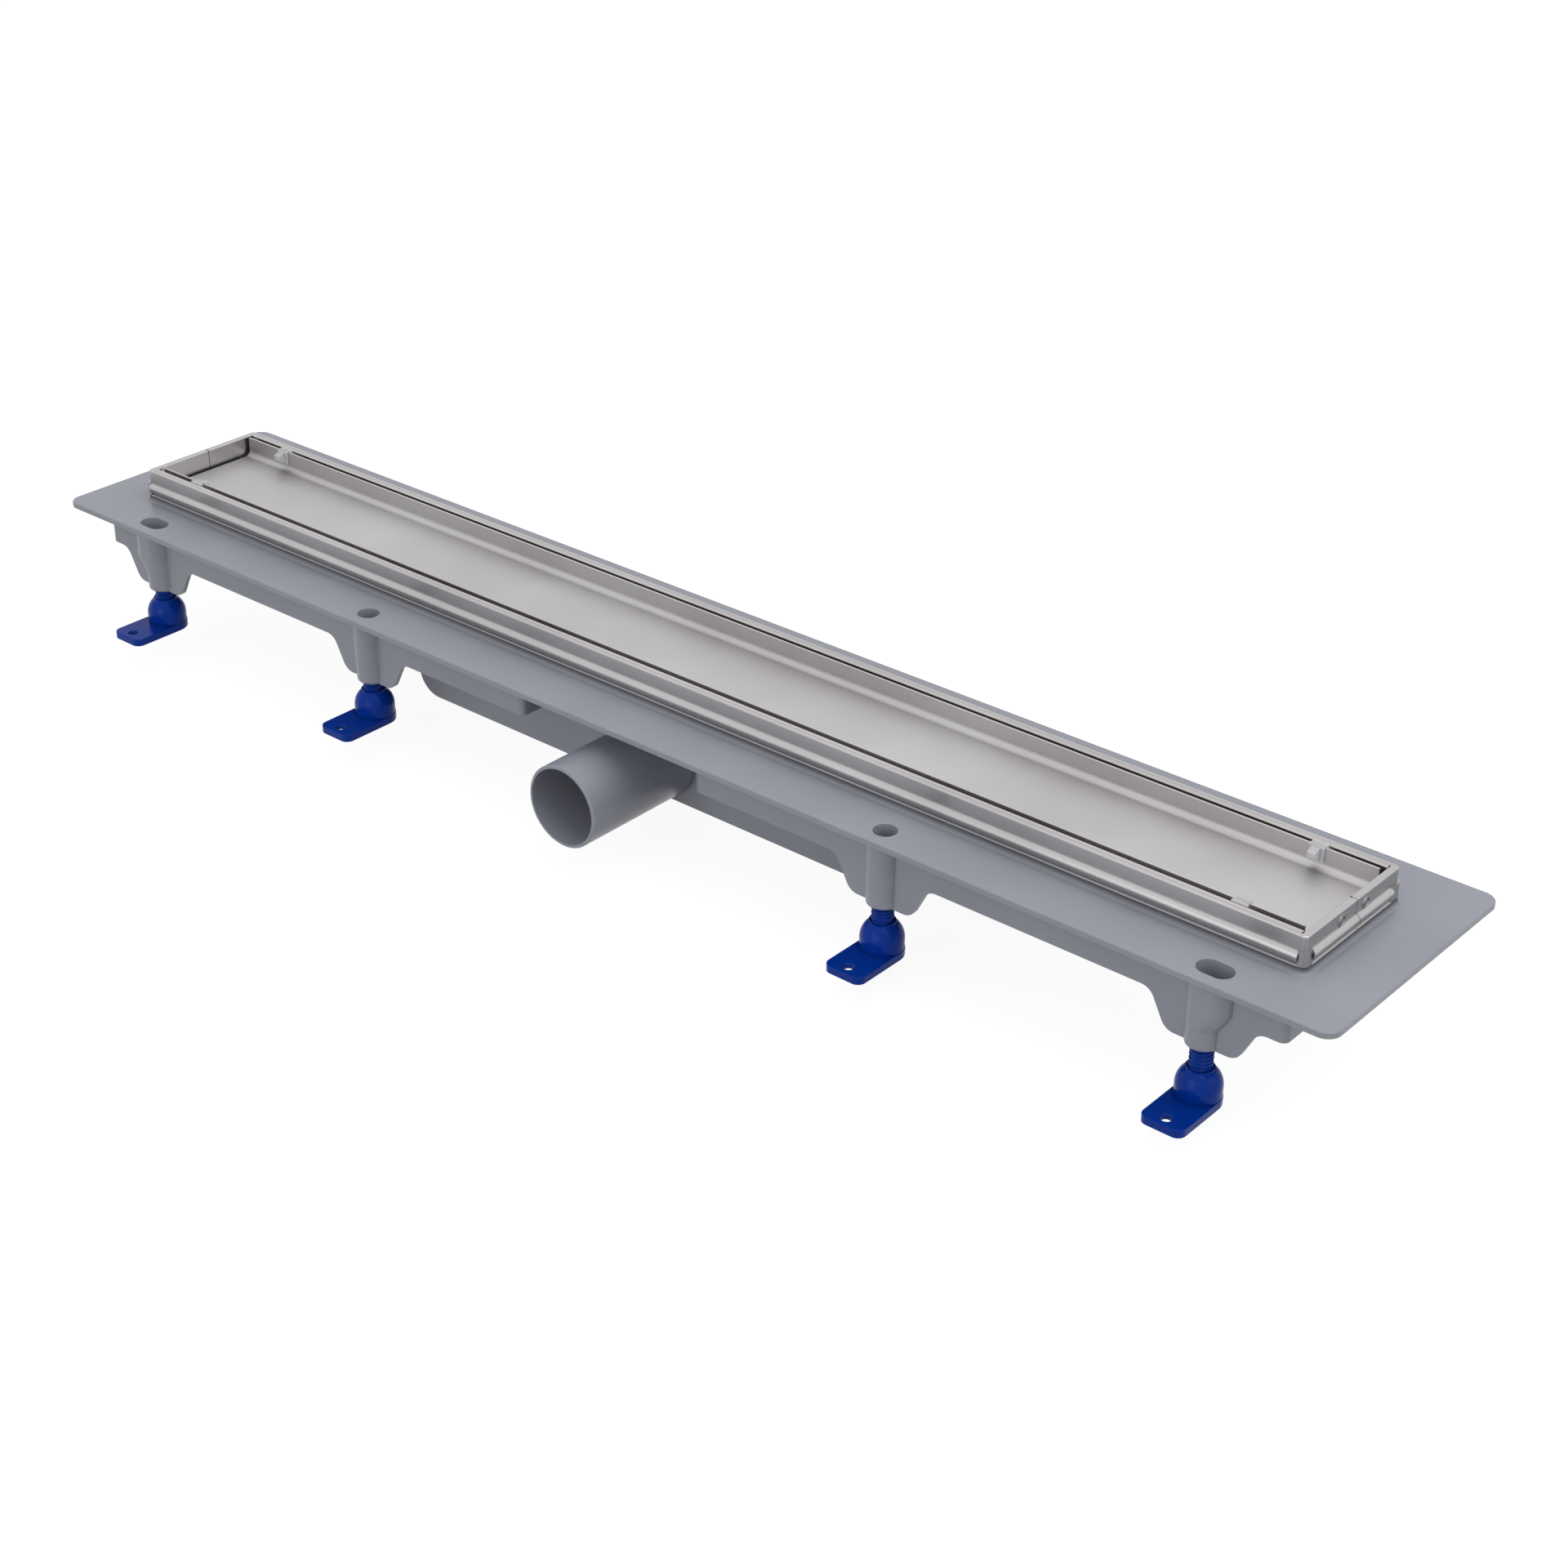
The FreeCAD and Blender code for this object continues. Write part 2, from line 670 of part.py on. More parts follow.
def foot_screw(x, side, sole):
    """Return a foot's screw without its fine thread, with the snap ring and drive slot."""
    y = side * foot_row
    ring = screw_radius + snap_reach
    low = foot_floor + snap_height
    high = low + snap_width
    end = foot_floor + screw_length
    top = sole + end
    steps = [(screw_radius, foot_floor), (screw_radius, low - snap_reach), (ring, low), (ring, high),
             (screw_radius, high + snap_reach), (screw_radius, end - screw_end_chamfer),
             (screw_radius - screw_end_chamfer, end), (0, end)]
    screw = turned((0, foot_floor), steps, x, y, sole)
    half = drive_slot_width / 2
    slot = box(x - ring, x + ring, y - half, y + half, top - drive_slot_depth, top + 1)
    return one_solid(screw.cut(slot))


def trap_cup():
    """Return the trap's cup: side inlets at the floor, a weir round the waste and its tube."""
    half_x = trap_length / 2
    half_y = sump_width / 2 - sump_wall - trap_play
    floor = sump_bottom + sump_wall
    top = flange_top - trap_top_depth
    shell = centred_box(half_x, half_y, floor, top)
    hollow = centred_box(half_x - trap_wall, half_y - trap_wall, floor + trap_wall, top + 1)
    inlet = centred_box(half_x + 1, half_y - 2 * trap_wall, floor + trap_wall,
                        floor + trap_inlet_height)
    weir_top = flange_top - weir_depth
    half_weir = weir_length / 2
    weir = centred_box(half_weir, half_y - trap_wall, floor + trap_wall, weir_top)
    pocket = centred_box(half_weir - trap_wall, half_y - trap_wall, floor + trap_wall, weir_top + 1)
    tube_radius = spigot_radius - spigot_wall - trap_tube_play
    tube = rod(tube_radius, (0, -half_y + trap_wall, spigot_axis), (0, -1, 0),
               trap_wall + trap_tube_reach)
    bore = rod(tube_radius - trap_tube_wall, (0, -half_y + trap_wall + 1, spigot_axis), (0, -1, 0),
               trap_wall + trap_tube_reach + 2)
    groove_y = -half_y - seal_place
    groove = rod(tube_radius + 1, (0, groove_y + seal_groove, spigot_axis), (0, -1, 0), 2 * seal_groove)
    groove = groove.cut(rod(tube_radius - seal_groove, (0, groove_y + seal_groove, spigot_axis),
                            (0, -1, 0), 2 * seal_groove))
    shell = shell.cut([hollow, inlet])
    return one_solid(shell.fuse([weir.cut(pocket), tube]).cut([bore, groove]))


def trap_seal():
    """Return the rubber ring between the trap's tube and the spigot's bore."""
    half_y = sump_width / 2 - sump_wall - trap_play
    place = -half_y - seal_place
    middle = spigot_radius - spigot_wall - seal_play - seal_radius
    corners = []
    for turn in range(8):
        angle = math.radians(22.5 + 45 * turn)
        corners.append((middle + seal_radius * math.cos(angle), place + seal_radius * math.sin(angle)))
    face = outline(lambda p: FreeCAD.Vector(p[0], p[1], spigot_axis), corners[0], corners[1:])
    return face.revolve(FreeCAD.Vector(0, 0, spigot_axis), FreeCAD.Vector(0, 1, 0), 360)


def trap_lid():
    """Return the trap's lid: a plate with a rim inside the cup and a grip to lift it."""
    half_x = trap_length / 2
    half_y = sump_width / 2 - sump_wall - trap_play
    under = flange_top - trap_top_depth
    plate = centred_box(half_x, half_y, under, under + lid_thickness)
    rim_x = half_x - trap_wall - trap_play
    rim_y = half_y - trap_wall - trap_play
    rim = centred_box(rim_x, rim_y, under - lid_rim_depth, under)
    rim = rim.cut(centred_box(rim_x - trap_wall, rim_y - trap_wall, under - lid_rim_depth - 1, under))
    top = under + lid_thickness
    half_grip = lid_grip_length / 2
    half_width = lid_grip_width / 2
    grip = box(-half_grip, half_grip, -half_width, half_width, top, top + lid_grip_height)
    crown = edges_at(grip, lambda x, y, z: abs(z - top - lid_grip_height) < 0.01 and abs(y) < 0.01)
    grip = grip.makeFillet(lid_grip_height * 0.6, crown)
    return one_solid(plate.fuse([rim, grip]))


def parts():
    """Return every piece by its node's name."""
    made = {"channel_body": channel_body()}
    made["frame_front_half"], made["frame_rear_half"] = frame_halves()
    made["splice_plate_left"] = splice_plate(-1)
    made["splice_plate_right"] = splice_plate(1)
    rail = side_rail()
    made["side_rail_rear"] = rail
    made["side_rail_front"] = mirrored_y(rail)
    made["tile_tray"] = tile_tray()
    spacer_x = tray_half_x - spacer_from_end
    for name, x in (("left", -spacer_x), ("right", spacer_x)):
        spacer = tray_spacer(x)
        made["tray_spacer_rear_" + name] = spacer
        made["tray_spacer_front_" + name] = mirrored_y(spacer)
    for row, side, depths in (("front", -1, front_soles), ("rear", 1, rear_soles)):
        for number, (x, depth) in enumerate(zip(foot_places(), depths), start=1):
            name = "%s_%d" % (row, number)
            made["foot_base_" + name] = foot_base(x, side, flange_top - depth)
            made["foot_screw_" + name] = foot_screw(x, side, flange_top - depth)
    made["trap_cup"] = trap_cup()
    made["trap_lid"] = trap_lid()
    made["trap_seal"] = trap_seal()
    return made


def main():
    """Write each piece to its own file."""
    os.makedirs("parts", exist_ok=True)
    for name, shape in parts().items():
        if not shape.isValid():
            raise ValueError("%s is not a valid solid" % name)
        shape.exportStep("parts/%s.step" % name)
        size = shape.BoundBox
        print("%-26s volume %10.1f  x %7.1f %7.1f  y %7.1f %7.1f  z %7.1f %7.1f" % (
            name, shape.Volume, size.XMin, size.XMax, size.YMin, size.YMax, size.ZMin, size.ZMax))


main()
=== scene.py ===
import json
import logging
import math
from dataclasses import dataclass, field
from enum import Enum
from typing import Optional

import bmesh
import bpy
from mathutils import Matrix, Vector


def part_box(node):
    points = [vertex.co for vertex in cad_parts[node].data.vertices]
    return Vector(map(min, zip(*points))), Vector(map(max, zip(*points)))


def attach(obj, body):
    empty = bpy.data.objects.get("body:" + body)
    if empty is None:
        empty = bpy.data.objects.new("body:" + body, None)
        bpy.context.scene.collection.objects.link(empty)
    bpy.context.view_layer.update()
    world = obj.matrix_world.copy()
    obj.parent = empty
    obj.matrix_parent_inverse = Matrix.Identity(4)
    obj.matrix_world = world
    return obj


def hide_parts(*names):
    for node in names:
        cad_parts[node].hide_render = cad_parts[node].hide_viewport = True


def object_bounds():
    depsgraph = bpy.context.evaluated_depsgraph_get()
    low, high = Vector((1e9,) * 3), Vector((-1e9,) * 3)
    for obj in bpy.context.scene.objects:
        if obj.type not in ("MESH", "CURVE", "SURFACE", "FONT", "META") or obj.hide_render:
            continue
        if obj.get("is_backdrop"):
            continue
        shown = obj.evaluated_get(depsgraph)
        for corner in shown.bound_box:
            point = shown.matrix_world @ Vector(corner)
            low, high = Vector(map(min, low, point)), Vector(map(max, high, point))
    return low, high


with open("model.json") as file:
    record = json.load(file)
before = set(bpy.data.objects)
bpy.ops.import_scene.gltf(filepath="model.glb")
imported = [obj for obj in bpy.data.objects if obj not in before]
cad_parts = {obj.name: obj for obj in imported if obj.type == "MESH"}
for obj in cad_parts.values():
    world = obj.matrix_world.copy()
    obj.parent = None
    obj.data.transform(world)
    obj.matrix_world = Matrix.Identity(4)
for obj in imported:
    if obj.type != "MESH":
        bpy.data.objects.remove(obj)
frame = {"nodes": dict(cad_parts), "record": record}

log = logging.getLogger("shower_drain")

Colour = tuple[float, float, float]

MERGE_REACH = 0.000002
THREAD_MERGE_REACH = 0.00002
SHADE_ENDS = (0.3, 0.7)
# Painted corner shade fades in over this span of the occlusion value.
CORNER_SPAN = 0.6
FEET_IN_ROW = 4


def from_display(red: int, green: int, blue: int) -> Colour:
    """Turn a display colour into the linear one that a shader takes.

    Args:
        red: Red from 0 to 255.
        green: Green from 0 to 255.
        blue: Blue from 0 to 255.

    Returns:
        The linear colour.
    """
    def linear(value: int) -> float:
        """Return one channel as linear light."""
        part = value / 255
        return part / 12.92 if part <= 0.04045 else ((part + 0.055) / 1.055) ** 2.4
    return linear(red), linear(green), linear(blue)


class Grain(Enum):
    """The way that the brushing runs on a sheet, as the stretch of its noise."""

    ALONG_X = (2.0, 420.0, 420.0)


class Row(Enum):
    """The side of the channel that a foot or a half of the frame is on."""

    FRONT = "front"
    REAR = "rear"

    @property
    def way(self) -> int:
        """Return the way that this side looks along Y."""
        return 1 if self is Row.REAR else -1


@dataclass
class ShaderGroups:
    """The effects that several finishes share, each built once as a node group."""

    mottle: Optional[bpy.types.NodeTree] = None
    brushing: Optional[bpy.types.NodeTree] = None
    surface_outputs: tuple[tuple[str, str], ...] = (
        ("Shade", "NodeSocketFloat"), ("Roughness", "NodeSocketFloat"),
        ("Height", "NodeSocketFloat"))
    drift_detail: float = 3.0
    texture_detail: float = 2.0
    line_scale: float = 3.0
    line_detail: float = 4.0
    line_weight: float = 0.6
    cloud_scale: float = 9.0
    cloud_detail: float = 2.0
    brushing_ends: tuple[float, float] = (0.35, 0.9)

    def new_group(self, name: str, inputs: list[tuple],
                  outputs: tuple[tuple[str, str], ...]) -> bpy.types.NodeTree:
        """Make an empty node group with named sockets.

        Args:
            name: The group's name.
            inputs: Name, socket type and default value of each input.
            outputs: Name and socket type of each output.

        Returns:
            The group.
        """
        tree = bpy.data.node_groups.new(name, "ShaderNodeTree")
        for title, kind, value in inputs:
            socket = tree.interface.new_socket(title, in_out="INPUT", socket_type=kind)
            socket.default_value = value
        for title, kind in outputs:
            tree.interface.new_socket(title, in_out="OUTPUT", socket_type=kind)
        return tree

    def build(self) -> None:
        """Build both groups."""
        self.mottle = self.build_mottle()
        self.brushing = self.build_brushing()

    def build_mottle(self) -> bpy.types.NodeTree:
        """Build the fine texture and slow colour drift of a moulded surface.

        Returns:
            The group, with a shade mask, a roughness and a height.
        """
        tree = self.new_group(
            "moulded_surface",
            [("Drift Scale", "NodeSocketFloat", 14.0), ("Texture Scale", "NodeSocketFloat", 900.0),
             ("Rough Low", "NodeSocketFloat", 0.3), ("Rough High", "NodeSocketFloat", 0.4)],
            self.surface_outputs)
        nodes, links = tree.nodes, tree.links
        given = nodes.new("NodeGroupInput")
        out = nodes.new("NodeGroupOutput")
        place = nodes.new("ShaderNodeTexCoord")
        drift = nodes.new("ShaderNodeTexNoise")
        drift.inputs["Detail"].default_value = self.drift_detail
        texture = nodes.new("ShaderNodeTexNoise")
        texture.inputs["Detail"].default_value = self.texture_detail
        spread = nodes.new("ShaderNodeMapRange")
        spread.inputs["From Min"].default_value = SHADE_ENDS[0]
        spread.inputs["From Max"].default_value = SHADE_ENDS[1]
        links.new(place.outputs["Object"], drift.inputs["Vector"])
        links.new(place.outputs["Object"], texture.inputs["Vector"])
        links.new(given.outputs["Drift Scale"], drift.inputs["Scale"])
        links.new(given.outputs["Texture Scale"], texture.inputs["Scale"])
        links.new(drift.outputs["Fac"], spread.inputs["Value"])
        links.new(given.outputs["Rough Low"], spread.inputs["To Min"])
        links.new(given.outputs["Rough High"], spread.inputs["To Max"])
        links.new(drift.outputs["Fac"], out.inputs["Shade"])
        links.new(spread.outputs["Result"], out.inputs["Roughness"])
        links.new(texture.outputs["Fac"], out.inputs["Height"])
        return tree

    def build_brushing(self) -> bpy.types.NodeTree:
        """Build the fine parallel lines of brushed sheet.

        Returns:
            The group, with a shade mask, a roughness and a height.
        """
        tree = self.new_group(
            "brushed_lines",
            [("Stretch", "NodeSocketVector", Grain.ALONG_X.value),
             ("Rough Low", "NodeSocketFloat", 0.22), ("Rough High", "NodeSocketFloat", 0.36)],
            self.surface_outputs)
        nodes, links = tree.nodes, tree.links
        given = nodes.new("NodeGroupInput")
        out = nodes.new("NodeGroupOutput")
        place = nodes.new("ShaderNodeTexCoord")
        stretch = nodes.new("ShaderNodeVectorMath")
        stretch.operation = "MULTIPLY"
        lines = nodes.new("ShaderNodeTexNoise")
        lines.inputs["Scale"].default_value = self.line_scale
        lines.inputs["Detail"].default_value = self.line_detail
        cloud = nodes.new("ShaderNodeTexNoise")
        cloud.inputs["Scale"].default_value = self.cloud_scale
        cloud.inputs["Detail"].default_value = self.cloud_detail
        both = nodes.new("ShaderNodeMath")
        both.operation = "MULTIPLY_ADD"
        both.inputs[1].default_value = self.line_weight
        spread = nodes.new("ShaderNodeMapRange")
        spread.inputs["From Min"].default_value = self.brushing_ends[0]
        spread.inputs["From Max"].default_value = self.brushing_ends[1]
        links.new(place.outputs["Object"], stretch.inputs[0])
        links.new(given.outputs["Stretch"], stretch.inputs[1])
        links.new(stretch.outputs["Vector"], lines.inputs["Vector"])
        links.new(place.outputs["Object"], cloud.inputs["Vector"])
        links.new(lines.outputs["Fac"], both.inputs[0])
        links.new(cloud.outputs["Fac"], both.inputs[2])
        links.new(both.outputs["Value"], spread.inputs["Value"])
        links.new(given.outputs["Rough Low"], spread.inputs["To Min"])
        links.new(given.outputs["Rough High"], spread.inputs["To Max"])
        links.new(cloud.outputs["Fac"], out.inputs["Shade"])
        links.new(spread.outputs["Result"], out.inputs["Roughness"])
        links.new(lines.outputs["Fac"], out.inputs["Height"])
        return tree


@dataclass(frozen=True)
class Finish:
    """What every finish has: a name, the record's slot and two near shades of its colour."""

    name: str
    slot: str
    low: Colour
    high: Colour
    bump: float = 0.05
    bump_depth: float = 0.0001
    # corner_reach, corner_shade and corner_open set the painted shade in corners: how far the
    # occlusion looks, how dark it gets and where it starts.
    corner_reach: float = 0.006
    corner_shade: float = 1.0
    corner_open: float = 0.95
    rough_low: float = 0.3
    rough_high: float = 0.4

    def start(self) -> tuple[bpy.types.Material, bpy.types.ShaderNode]:
        """Make a material that holds only a shader and its output.

        Returns:
            The material and its shader.
        """
        material = bpy.data.materials.new(self.name)
        material.use_nodes = True
        shader = material.node_tree.nodes["Principled BSDF"]
        material.diffuse_color = (*self.high, 1.0)
        return material, shader

    def join(self, material: bpy.types.Material, shader: bpy.types.ShaderNode,
             group: bpy.types.NodeTree) -> bpy.types.ShaderNode:
        """Lead a group's shade, roughness and height into the shader, and paint shade into corners.

        Args:
            material: The material.
            shader: Its shader.
            group: The node group to place.

        Returns:
            The group's node.
        """
        nodes, links = material.node_tree.nodes, material.node_tree.links
        surface = nodes.new("ShaderNodeGroup")
        surface.node_tree = group
        surface.inputs["Rough Low"].default_value = self.rough_low
        surface.inputs["Rough High"].default_value = self.rough_high
        ramp = nodes.new("ShaderNodeValToRGB")
        stops = zip(ramp.color_ramp.elements, SHADE_ENDS, (self.low, self.high))
        for stop, position, colour in stops:
            stop.position = position
            stop.color = (*colour, 1.0)
        bump = nodes.new("ShaderNodeBump")
        bump.inputs["Strength"].default_value = self.bump
        bump.inputs["Distance"].default_value = self.bump_depth
        # Painted shade: ambient occlusion darkens the base colour in corners, creases and recesses,
        # down to corner_shade of it.
        corner = nodes.new("ShaderNodeAmbientOcclusion")
        corner.inputs["Distance"].default_value = self.corner_reach
        depth = nodes.new("ShaderNodeMapRange")
        depth.inputs["From Min"].default_value = self.corner_open - CORNER_SPAN
        depth.inputs["From Max"].default_value = self.corner_open
        depth.inputs["To Min"].default_value = self.corner_shade
        depth.inputs["To Max"].default_value = 1.0
        shaded = nodes.new("ShaderNodeVectorMath")
        shaded.operation = "SCALE"
        links.new(surface.outputs["Shade"], ramp.inputs["Fac"])
        links.new(corner.outputs["AO"], depth.inputs["Value"])
        links.new(ramp.outputs["Color"], shaded.inputs[0])
        links.new(depth.outputs["Result"], shaded.inputs["Scale"])
        links.new(shaded.outputs["Vector"], shader.inputs["Base Color"])
        links.new(surface.outputs["Roughness"], shader.inputs["Roughness"])
        links.new(surface.outputs["Height"], bump.inputs["Height"])
        links.new(bump.outputs["Normal"], shader.inputs["Normal"])
        return surface


@dataclass(frozen=True)
class MouldedFinish(Finish):
    """A moulded plastic or rubber."""

    drift_scale: float = 14.0
    specular: float = 0.5
    scatter: float = 0.0
    scatter_reach: float = 0.004
    # Heights and darkest level of a painted shadow band under the frame; None leaves it out.
    painted_shadow_heights: Optional[tuple[float, float]] = None
    painted_shadow_level: float = 1.0

    def material(self, groups: ShaderGroups) -> bpy.types.Material:
        """Build the material.

        Args:
            groups: The shared node groups.

        Returns:
            The material.
        """
        material, shader = self.start()
        surface = self.join(material, shader, groups.mottle)
        surface.inputs["Drift Scale"].default_value = self.drift_scale
        shader.inputs["Specular IOR Level"].default_value = self.specular
        shader.inputs["Subsurface Weight"].default_value = self.scatter
        shader.inputs["Subsurface Scale"].default_value = self.scatter_reach
        shader.inputs["Subsurface Radius"].default_value = (1.0, 1.0, 1.0)
        if self.painted_shadow_heights:
            self.add_painted_shadow_band(material, shader)
        return material

    def add_painted_shadow_band(self, material: bpy.types.Material, shader: bpy.types.ShaderNode) -> None:
        """Darken the colour as painted shade under the frame's foot: full colour below the first
        height, fading to the darkest level at the second height and above.

        Args:
            material: The material.
            shader: Its shader, whose colour is led in already.
        """
        nodes, links = material.node_tree.nodes, material.node_tree.links
        colour = shader.inputs["Base Color"].links[0].from_socket
        place = nodes.new("ShaderNodeTexCoord")
        parts = nodes.new("ShaderNodeSeparateXYZ")
        height = nodes.new("ShaderNodeMapRange")
        start, end = self.painted_shadow_heights
        height.inputs["From Min"].default_value = start
        height.inputs["From Max"].default_value = end
        height.inputs["To Min"].default_value = 1.0
        height.inputs["To Max"].default_value = self.painted_shadow_level
        shaded = nodes.new("ShaderNodeVectorMath")
        shaded.operation = "SCALE"
        links.new(place.outputs["Object"], parts.inputs[0])
        links.new(parts.outputs["Z"], height.inputs["Value"])
        links.new(colour, shaded.inputs[0])
        links.new(height.outputs["Result"], shaded.inputs["Scale"])
        links.new(shaded.outputs["Vector"], shader.inputs["Base Color"])


@dataclass(frozen=True)
class SteelFinish(Finish):
    """A brushed stainless sheet."""

    grain: Grain = Grain.ALONG_X

    def material(self, groups: ShaderGroups) -> bpy.types.Material:
        """Build the material.

        Args:
            groups: The shared node groups.

        Returns:
            The material.
        """
        material, shader = self.start()
        surface = self.join(material, shader, groups.brushing)
        surface.inputs["Stretch"].default_value = self.grain.value
        shader.inputs["Metallic"].default_value = 1.0
        return material


# Finishes; where corner_shade is below 1, corners and recesses get painted shade.
CHANNEL_PLASTIC = MouldedFinish(
    "channel_grey_plastic", "channel_grey",
    from_display(154, 156, 167), from_display(162, 165, 176),
    bump=0.06, rough_low=0.3, rough_high=0.38, specular=0.42,
    corner_reach=0.011, corner_shade=0.25, corner_open=0.72,
    # Painted shadow band on the channel under the frame's foot.
    painted_shadow_heights=(-0.00805, -0.006), painted_shadow_level=0.3)
FRAME_STEEL = SteelFinish(
    "frame_stainless", "frame_steel", from_display(180, 178, 178), from_display(192, 190, 190),
    bump=0.006, rough_low=0.27, rough_high=0.33, corner_reach=0.003, corner_shade=0.6)
TRAY_STEEL = SteelFinish(
    "tray_stainless", "tray_steel", from_display(187, 184, 185), from_display(199, 197, 198),
    bump=0.006, rough_low=0.42, rough_high=0.48, corner_reach=0.012, corner_shade=0.85)
RAIL_STEEL = SteelFinish(
    "rail_stainless", "frame_steel", from_display(184, 179, 178), from_display(196, 192, 191),
    bump=0.006, rough_low=0.2, rough_high=0.26, corner_reach=0.003, corner_shade=0.7)
# The welds' grooves get deep painted shade from occlusion.
WELD_STEEL = SteelFinish(
    "weld_stainless", "frame_steel", from_display(150, 146, 148), from_display(168, 164, 166),
    bump=0.02, rough_low=0.2, rough_high=0.3, corner_reach=0.002, corner_shade=0.1)
FOOT_PLASTIC = MouldedFinish(
    "foot_blue_plastic", "foot_blue", from_display(0, 52, 152), from_display(0, 58, 164),
    bump=0.02, rough_low=0.22, rough_high=0.28, drift_scale=30.0, specular=0.12,
    corner_reach=0.004, corner_shade=0.5)
SPACER_PLASTIC = MouldedFinish(
    "spacer_clear_white", "spacer_white", from_display(196, 195, 199), from_display(206, 205, 209),
    bump=0.02, rough_low=0.4, rough_high=0.5, drift_scale=60.0, specular=0.25, scatter=0.9)
TRAP_PLASTIC = MouldedFinish(
    "trap_pale_plastic", "trap_plastic", from_display(206, 208, 210), from_display(216, 218, 220),
    bump=0.1, rough_low=0.34, rough_high=0.46)
SEAM_STEEL = SteelFinish(
    "seam_stainless", "frame_steel", from_display(52, 50, 50), from_display(66, 64, 64),
    bump=0.02, rough_low=0.4, rough_high=0.5, corner_reach=0.001, corner_shade=0.6)
SEAL_RUBBER = MouldedFinish(
    "seal_black_rubber", "trap_rubber", from_display(24, 24, 25), from_display(34, 34, 35),
    bump=0.2, rough_low=0.55, rough_high=0.7, specular=0.3)


def as_mesh(work: bmesh.types.BMesh, name: str) -> bpy.types.Mesh:
    """Turn a bmesh into a new mesh and free it.

    Args:
        work: The bmesh.
        name: The mesh's name.

    Returns:
        The mesh.
    """
    mesh = bpy.data.meshes.new(name)
    work.to_mesh(mesh)
    work.free()
    return mesh


def block(size: tuple[float, float, float], centre: tuple[float, float, float],
          name: str) -> bpy.types.Mesh:
    """Make a rectangular block.

    Args:
        size: Its three sides.
        centre: Its middle.
        name: The mesh's name.

    Returns:
        The mesh.
    """
    work = bmesh.new()
    bmesh.ops.create_cube(work, size=1.0)
    bmesh.ops.scale(work, verts=work.verts, vec=size)
    bmesh.ops.translate(work, verts=work.verts, vec=centre)
    return as_mesh(work, name)


@dataclass
class Workshop:
    """What every sub-assembly needs: the node groups, the materials and the frame."""

    groups: ShaderGroups = field(default_factory=ShaderGroups)
    made: dict[str, bpy.types.Material] = field(default_factory=dict)

    def material(self, finish: Finish) -> bpy.types.Material:
        """Return a finish's material, built the first time it is asked for."""
        if finish.name not in self.made:
            self.made[finish.name] = finish.material(self.groups)
        return self.made[finish.name]

    def body_of(self, node: str) -> str:
        """Return the name of the body that a CAD node rides on."""
        bodies = frame["record"]["behaviour"]["bodies"]
        return next(body for body, nodes in bodies.items() if node in nodes)

    def add(self, name: str, mesh: bpy.types.Mesh, finish: Finish, node: str,
            smooth_angle: float = 32.0) -> bpy.types.Object:
        """Put a finished mesh in the scene in place of a CAD node.

        Args:
            name: The piece's name.
            mesh: Its mesh, in the row's frame.
            finish: Its finish.
            node: The CAD node that it stands for.
            smooth_angle: Edges sharper than this many degrees stay hard.

        Returns:
            The piece.
        """
        piece = self.place(name, mesh, finish, node, smooth_angle)
        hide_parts(node)
        log.info("%s stands for %s with %d faces", name, node, len(mesh.polygons))
        return piece

    def place(self, name: str, mesh: bpy.types.Mesh, finish: Finish, node: str,
              smooth_angle: float = 32.0) -> bpy.types.Object:
        """Put a finished mesh in the scene on the body of a CAD node.

        Args:
            name: The piece's name.
            mesh: Its mesh, in the row's frame.
            finish: Its finish.
            node: The CAD node whose body it rides on.
            smooth_angle: Edges sharper than this many degrees stay hard.

        Returns:
            The piece.
        """
        mesh.materials.clear()
        mesh.materials.append(self.material(finish))
        mesh.shade_smooth()
        mesh.set_sharp_from_angle(angle=math.radians(smooth_angle))
        piece = bpy.data.objects.new(name, mesh)
        bpy.context.scene.collection.objects.link(piece)
        flat = piece.modifiers.new("even_normals", "WEIGHTED_NORMAL")
        flat.keep_sharp = True
        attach(piece, self.body_of(node))
        return piece

    def dress(self, node: str, finish: Finish, smooth_angle: float = 32.0) -> bpy.types.Object:
        """Stand a merged, smoothly shaded copy of a CAD node in the node's place.

        Args:
            node: The CAD node.
            finish: The finish it gets.
            smooth_angle: Edges sharper than this many degrees stay hard.

        Returns:
            The piece.
        """
        return self.add(node + "_dressed", self.merged_copy(node), finish, node, smooth_angle)

    def merged_copy(self, node: str) -> bpy.types.Mesh:
        """Return a copy of a CAD node's mesh with its doubled corners merged."""
        mesh = frame["nodes"][node].data.copy()
        mesh.name = node + "_dressed"
        if "custom_normal" in mesh.attributes:
            mesh.attributes.remove(mesh.attributes["custom_normal"])
        work = bmesh.new()
        work.from_mesh(mesh)
        bmesh.ops.remove_doubles(work, verts=work.verts, dist=MERGE_REACH)
        work.to_mesh(mesh)
        work.free()
        return mesh

    def cut(self, mesh: bpy.types.Mesh, cutter: bpy.types.Mesh) -> bpy.types.Mesh:
        """Cut one closed mesh out of another.

        Args:
            mesh: The mesh to cut.
            cutter: The mesh whose room is taken away.

        Returns:
            The mesh that is left.
        """
        body = bpy.data.objects.new("cut_body", mesh)
        tool = bpy.data.objects.new("cut_tool", cutter)
        for piece in (body, tool):
            bpy.context.scene.collection.objects.link(piece)
        step = body.modifiers.new("cut", "BOOLEAN")
        step.operation = "DIFFERENCE"
        step.solver = "EXACT"
        step.object = tool
        left = bpy.data.meshes.new_from_object(
            body.evaluated_get(bpy.context.evaluated_depsgraph_get()))
        bpy.data.objects.remove(body)
        bpy.data.objects.remove(tool)
        left.name = mesh.name
        return left


